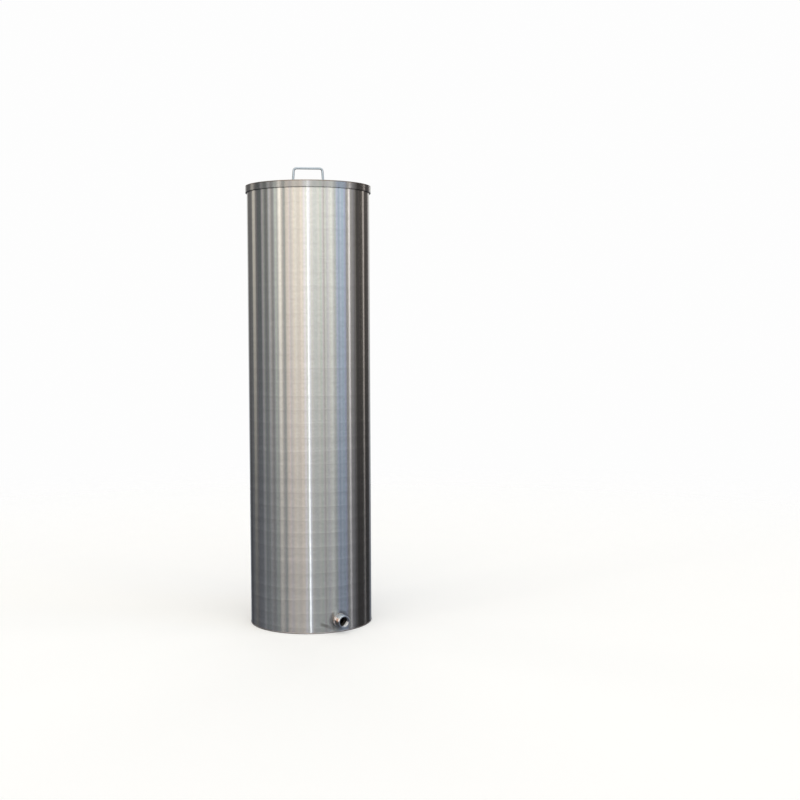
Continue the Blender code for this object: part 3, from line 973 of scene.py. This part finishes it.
CREAM = (1.07, 1.0, 0.90)
PALE = (1.0, 1.0, 0.96)
SKY = (0.85, 1.0, 1.23)
STONE = (1.04, 1.0, 0.99)
CLAY = (1.10, 1.0, 0.93)
LEAF = (0.89, 1.0, 0.97)
SUN = (1.06, 1.0, 0.93)
ROSE = (1.08, 0.99, 0.96)
GLOW = (0.97, 1.0, 1.06)
FLOOR_TINT = (0.90, 1.0, 1.20)     # the foot of every card is cooler, by the sky on the pale floor

CARDS = {
    "left_back": Card(-168.0, 22.0, 6.0, 0.50, 0.13, PALE),
    "left_room": Card(-124.0, 62.0, 6.0, 0.20, 0.125, STONE),
    "left_far": Card(-151.0, 14.0, 6.0, 0.20, 0.06, STONE),
    "left_wall": Card(-80.0, 34.0, 2.0, 0.50, 0.17, PALE),
    "left_shoulder": Card(-63.5, 9.0, 4.0, 1.20, 0.185, PALE),
    "left_front": Card(-29.5, 59.0, 2.0, 1.32, 0.306, CREAM),
    "right_front": Card(27.0, 53.0, 2.0, 1.60, 0.24, PALE),
    "right_sky": Card(62.5, 22.0, 2.0, 1.08, 0.195, SKY, (1.06, 0.97, 0.93)),
    "right_wall": Card(85.5, 25.0, 2.0, 0.62, 0.135, STONE),
    "right_room": Card(132.0, 69.0, 2.0, 0.12, 0.035, CLAY),
    "back": Card(180.0, 40.0, 10.0, 0.95, 0.28, PALE),
    "left_panel": Card(-125.0, 12.0, 5.0, 0.92, 0.12, CREAM),
    "left_shade": Card(-105.0, 13.0, 5.0, 0.165, 0.165, LEAF, (1.17, 1.0, 1.02)),
    "left_strip": Card(-96.5, 5.0, 2.5, 0.68, 0.24, PALE),
    "left_dim": Card(-87.0, 6.0, 2.0, 0.23, 0.20, PALE),
    "left_lamp": Card(-78.2, 5.5, 2.0, 1.06, 0.18, STONE),
    "window_edge": Card(-55.9, 5.4, 2.0, 2.16, 0.215, CREAM),
    "window_bar": Card(-47.5, 7.0, 3.0, 0.73, 0.225, PALE),
    "left_rose": Card(-34.5, 5.0, 2.0, 1.19, 0.30, ROSE),
    "left_cream": Card(-26.4, 7.5, 4.0, 1.55, 0.315, CREAM),
    "left_bright": Card(-9.0, 15.5, 3.0, 1.51, 0.325, CREAM),
    "left_gleam": Card(-8.0, 4.5, 3.0, 1.76, 0.39, PALE),
    "right_bar": Card(31.0, 11.0, 4.0, 1.42, 0.25, PALE),
    "right_seam": Card(28.2, 2.0, 1.0, 0.95, 0.15, PALE),
    "right_edge": Card(42.6, 5.0, 2.0, 1.83, 0.31, PALE),
    "right_dim": Card(49.5, 6.0, 2.0, 1.25, 0.205, PALE),
    "right_glass": Card(67.0, 5.0, 2.0, 1.17, 0.20, SKY, (1.06, 0.97, 0.93)),
    "right_lamp": Card(81.5, 3.4, 1.0, 2.30, 0.44, STONE),
    "right_near": Card(95.5, 6.0, 2.0, 0.39, 0.06, STONE),
    "right_slot": Card(125.0, 4.5, 2.0, 1.08, 0.18, CLAY),
    "right_far": Card(158.0, 14.0, 6.0, 0.86, 0.225, PALE),
    "sun_glow": Card(0.4, 6.0, 4.0, 1.95, 0.33, GLOW),
    "sun_edge": Card(-5.2, 2.0, 1.0, 1.75, 0.24, PALE),
    "sun": Card(-1.5, 1.6, 0.5, 3.2, 3.3, SUN),
}

WARM_LAMP = Lamp(-23.5, 40.0, 6.0, -3.0, 9.0, (1.74, 1.58, 1.51))     # on the cream cards
BARE_WALL = (0.25, 0.25, 0.25)     # what no card covers
EYE_BAND = 12.0                    # degrees below and above eye level, between a card's foot and its top
OVERHEAD = (30.0, 75.0)            # elevations between which the cards give way to the light from above
FOLD_DENSITY = 0.25                # folds in the cards to the degree
FOLD_COLOUR = 0.4                  # how much the folds differ in colour, from 0 to 1


def spread_mask(graph, bearing, item):
    """1 inside the width of a card or a lamp and 0 outside it, with soft edges."""
    away = abs(graph.math("WRAP", bearing - item.bearing, 180.0, -180.0))
    return graph.step(away, (item.width + item.soft) / 2, (item.width - item.soft) / 2)


def folds(graph, bearing):
    """Narrow upright folds in the cards: a brightness near 1, a little different in each colour."""
    shade, tint = graph.outputs("ShaderNodeTexNoise", noise_dimensions="1D",
                                named={"W": bearing, "Scale": FOLD_DENSITY, "Detail": 2.0})
    return graph.vector("ADD", graph.mix(FOLD_COLOUR, shade, tint), (0.5, 0.5, 0.5))


def card_light(graph, bearing):
    """The colours of the ring of cards at its top and at its foot."""
    top = foot = rgba(BARE_WALL)
    for card in CARDS.values():
        mask = spread_mask(graph, bearing, card)
        high = tuple(part * card.top for part in card.tint)
        low = tuple(part * other * card.foot for part, other in zip(card.tint, card.low))
        top = graph.mix(mask, top, rgba(high))
        foot = graph.mix(mask, foot, rgba(low))
    return top, graph.mix(1.0, foot, rgba(FLOOR_TINT), "MULTIPLY")


def studio_light(studio):
    """The world: pale to the camera, and to everything else a ring of tall cards, darker at the foot."""
    world = bpy.data.worlds.new("studio_cards")
    bpy.context.scene.world = world
    world.use_nodes = True
    graph = Graph(world.node_tree)
    x, y, z = graph.apart(graph.add("ShaderNodeTexCoord", output=0))
    elevation = graph.math("DEGREES", graph.math("ARCSINE", z))
    bearing = graph.math("DEGREES", graph.math("ARCTAN2", y, x))
    camera = math.degrees(math.atan2(studio.camera_place[1], studio.camera_place[0]))
    bearing = graph.math("WRAP", bearing - camera, 180.0, -180.0)
    top, foot = card_light(graph, bearing)
    light = graph.mix(graph.step(elevation, -EYE_BAND, EYE_BAND), foot, top)
    warmth = spread_mask(graph, bearing, WARM_LAMP) * graph.step(
        abs(elevation - WARM_LAMP.elevation), WARM_LAMP.reach, 0.0)
    light = graph.mix(warmth, light, rgba(WARM_LAMP.gain), "MULTIPLY")
    light = graph.mix(1.0, light, folds(graph, bearing), "MULTIPLY")
    above = tuple(part * studio.overhead_level for part in studio.overhead_colour)
    light = graph.mix(graph.step(elevation, *OVERHEAD), light, rgba(above))
    camera_ray = graph.add("ShaderNodeLightPath")
    light = graph.mix(camera_ray, light, rgba(studio.backdrop_colour))
    background = world.node_tree.nodes["Background"]
    graph.feed_named(background, {"Color": light, "Strength": studio.card_level})


def studio_floor(studio):
    """A round pale floor that melts into the backdrop well away from the tank."""
    reach, height = 14.0, -0.0005
    melt_start, melt_end = 2.0, 7.0
    radius = np.linspace(0.0, reach, 15)
    shape = turned(spread(radius, height), 96)
    mesh = bpy.data.meshes.new("studio_floor")
    mesh.from_pydata(shape.points, [], shape.quads)
    material, graph, shader = new_material("pale_floor")
    away = graph.vector("LENGTH", graph.place(), output=1)
    graph.feed_named(shader, {
        "Base Color": rgba(studio.floor_colour),
        "Roughness": 0.9,
        "Specular IOR Level": 0.2,
        "Emission Color": rgba(studio.floor_colour),
        "Emission Strength": studio.floor_glow,
        "Alpha": graph.step(away, melt_start, melt_end, 1.0, 0.0),
    })
    mesh.materials.append(material)
    floor = bpy.data.objects.new("studio_floor", mesh)
    bpy.context.collection.objects.link(floor)
    floor.visible_glossy = False


def studio_camera(studio):
    """The camera, at the place and angle of the photograph."""
    data = bpy.data.cameras.new("studio_camera")
    data.lens = studio.camera_lens
    data.sensor_width = 36.0
    data.clip_end = 200.0
    camera = bpy.data.objects.new("studio_camera", data)
    bpy.context.collection.objects.link(camera)
    heading, pitch, roll = studio.camera_heading, studio.camera_pitch, studio.camera_roll
    level_right = Vector((math.sin(heading), -math.cos(heading), 0.0))
    forward = Vector((math.cos(pitch) * math.cos(heading), math.cos(pitch) * math.sin(heading),
                      -math.sin(pitch)))
    level_up = level_right.cross(forward)
    right = math.cos(roll) * level_right + math.sin(roll) * level_up
    up = right.cross(forward)
    camera.matrix_world = Matrix.LocRotScale(
        Vector(studio.camera_place), Matrix((right, up, -forward)).transposed(), None)
    bpy.context.scene.camera = camera


# Operators

class FinishStep(bpy.types.Operator):
    """One step of the finish."""

    bl_options = {"REGISTER", "UNDO"}

    @property
    def sizes(self):
        return bpy.context.scene.tank_sizes

    @property
    def finish(self):
        return bpy.context.scene.tank_finish


class WATERTANK_OT_walls(FinishStep):
    """Build both courses of the round wall."""

    bl_idname = "water_tank.walls"
    bl_label = "Walls"

    def execute(self, context):
        sizes, finish = self.sizes, self.finish
        sheet = brushed_sheet("brushed_wall", "brushed_wall", finish.wall_colour, finish, sizes,
                              wall_marks)
        courses = {"lower": (sizes.wall_foot, sizes.girth_height, True),
                   "upper": (sizes.girth_height, sizes.rim_height, False)}
        for name, (low, high, outlet) in courses.items():
            nodes = [f"{name}_wall_{side}" for side in ("front", "right", "back", "left")]
            add_piece(f"{name}_wall", wall_course(sizes, low, high, outlet), sheet, "tank", nodes)
        return {"FINISHED"}


class WATERTANK_OT_butt_welds(FinishStep):
    """Build the ground seam of each course and the girth weld between them."""

    bl_idname = "water_tank.butt_welds"
    bl_label = "Butt Welds"

    def execute(self, context):
        sizes, finish = self.sizes, self.finish
        weld = plain_steel("ground_weld", "ground_weld", finish.weld_colour, 0.32, (400.0, 9.0))
        lower = seam_bar(sizes, sizes.wall_radius, sizes.lower_seam, sizes.wall_foot, sizes.girth_height)
        upper = seam_bar(sizes, sizes.wall_radius, sizes.upper_seam, sizes.girth_height, sizes.rim_height)
        add_piece("lower_seam", lower, weld, "tank", ["lower_seam_weld"])
        add_piece("upper_seam", upper, weld, "tank", ["upper_seam_weld"])
        girth = brushed_sheet("girth_weld_ground", "ground_weld", finish.wall_colour, finish, sizes,
                              wall_marks)
        add_piece("girth_band", girth_ring(sizes), girth, "tank", ["girth_weld"])
        return {"FINISHED"}


class WATERTANK_OT_base(FinishStep):
    """Build the base plate and the weld along the foot of the wall."""

    bl_idname = "water_tank.base"
    bl_label = "Base"

    def execute(self, context):
        sizes, finish = self.sizes, self.finish
        plain = plain_steel("base_sheet", "plain_sheet", finish.plain_colour, 0.38, (300.0, 300.0))
        add_piece("base_sheet", base_disc(sizes), plain, "tank", ["base_plate"])
        weld = tinted_bead("foot_weld", "tinted_weld", finish.foot_colour, finish, 0.3)
        add_piece("foot_bead", base_bead(sizes), weld, "tank", ["base_weld"])
        return {"FINISHED"}


class WATERTANK_OT_rim(FinishStep):
    """Build the rolled rim inside the top of the wall."""

    bl_idname = "water_tank.rim"
    bl_label = "Rolled Rim"

    def execute(self, context):
        plain = plain_steel("rim_sheet", "plain_sheet", self.finish.plain_colour, 0.30, (40.0, 600.0))
        add_piece("rolled_rim", rolled_rim(self.sizes), plain, "tank", ["top_rim"])
        return {"FINISHED"}


class WATERTANK_OT_outlet(FinishStep):
    """Build the threaded outlet socket and the fillet that holds it."""

    bl_idname = "water_tank.outlet"
    bl_label = "Outlet"

    def execute(self, context):
        sizes, finish = self.sizes, self.finish
        turned_steel = turned_socket("turned_socket", "turned_steel", finish, sizes)
        bore, opening = socket_bore(sizes)
        shapes = moved([bore, socket_body(sizes, opening)], outlet_place(sizes))
        add_piece("threaded_socket", shapes, turned_steel, "tank", ["outlet_socket"])
        weld = outlet_bead_steel("outlet_weld_tint", "tinted_weld", finish, sizes)
        add_piece("outlet_bead", outlet_bead(sizes), weld, "tank", ["outlet_weld"], 60.0)
        return {"FINISHED"}


class WATERTANK_OT_lid(FinishStep):
    """Build the lid's disc, skirt, corner weld and end seam."""

    bl_idname = "water_tank.lid"
    bl_label = "Lid"

    def execute(self, context):
        sizes, finish = self.sizes, self.finish
        sheet = brushed_sheet("lid_sheet", "lid_sheet", finish.lid_colour, finish, sizes, lid_marks)
        add_piece("lid_plate", lid_plate(sizes), sheet, "lid", ["lid_disc"])
        add_piece("lid_band", lid_band(sizes), sheet, "lid", ["lid_skirt"])
        weld = plain_steel("lid_weld", "ground_weld", finish.weld_colour, 0.36, (60.0, 60.0))
        add_piece("lid_corner", lid_corner_bead(sizes), weld, "lid", ["lid_edge_weld"])
        high = sizes.lid_top - sizes.lid_thickness
        seam = seam_bar(sizes, sizes.lid_radius, math.pi / 2 + sizes.lid_turn, sizes.skirt_foot, high)
        add_piece("lid_seam", seam, weld, "lid", ["lid_seam_weld"])
        return {"FINISHED"}


class WATERTANK_OT_handle(FinishStep):
    """Build the bent rod of the handle and the bead at each foot."""

    bl_idname = "water_tank.handle"
    bl_label = "Handle"

    def execute(self, context):
        sizes, finish = self.sizes, self.finish
        rod = plain_steel("drawn_rod", "drawn_rod", finish.rod_colour, 0.34, (120.0, 120.0), 0.04)
        add_piece("handle_bar", handle_bar(sizes), rod, "lid", ["handle_rod"])
        weld = tinted_bead("handle_weld_tint", "tinted_weld", finish.bead_and_highlight_colour, finish, 0.5)
        for name, side in (("right", 1.0), ("left", -1.0)):
            add_piece(f"handle_foot_{name}", foot_bead(sizes, side), weld, "lid",
                      [f"handle_weld_{name}"], 60.0)
        return {"FINISHED"}


class WATERTANK_OT_studio(FinishStep):
    """Set up the floor, the cards and the camera."""

    bl_idname = "water_tank.studio"
    bl_label = "Studio"

    def execute(self, context):
        studio = context.scene.tank_studio
        studio_light(studio)
        studio_floor(studio)
        studio_camera(studio)
        context.scene.view_settings.view_transform = "Standard"
        return {"FINISHED"}


OPERATORS = (WATERTANK_OT_walls, WATERTANK_OT_butt_welds, WATERTANK_OT_base, WATERTANK_OT_rim,
             WATERTANK_OT_outlet, WATERTANK_OT_lid, WATERTANK_OT_handle, WATERTANK_OT_studio)


class WATERTANK_PT_finish(bpy.types.Panel):
    """Lists the steps of the tank's finish."""

    bl_idname = "WATERTANK_PT_finish"
    bl_label = "Water Tank Finish"
    bl_space_type = "VIEW_3D"
    bl_region_type = "UI"
    bl_category = "Water Tank"

    def draw(self, context):
        for operator in OPERATORS:
            self.layout.operator(operator.bl_idname)


CLASSES = (TankSizes, TankFinish, StudioSetup, *OPERATORS, WATERTANK_PT_finish)


def register():
    """Register the classes and put the settings on the scene."""
    for item in CLASSES:
        bpy.utils.register_class(item)
    bpy.types.Scene.tank_sizes = bpy.props.PointerProperty(type=TankSizes)
    bpy.types.Scene.tank_finish = bpy.props.PointerProperty(type=TankFinish)
    bpy.types.Scene.tank_studio = bpy.props.PointerProperty(type=StudioSetup)


def unregister():
    """Take the settings and the classes away again."""
    del bpy.types.Scene.tank_studio
    del bpy.types.Scene.tank_finish
    del bpy.types.Scene.tank_sizes
    for item in reversed(CLASSES):
        bpy.utils.unregister_class(item)


def main():
    """Run every step in order."""
    register()
    for operator in OPERATORS:
        group, name = operator.bl_idname.split(".")
        getattr(getattr(bpy.ops, group), name)()


if __name__ == "__main__":
    main()
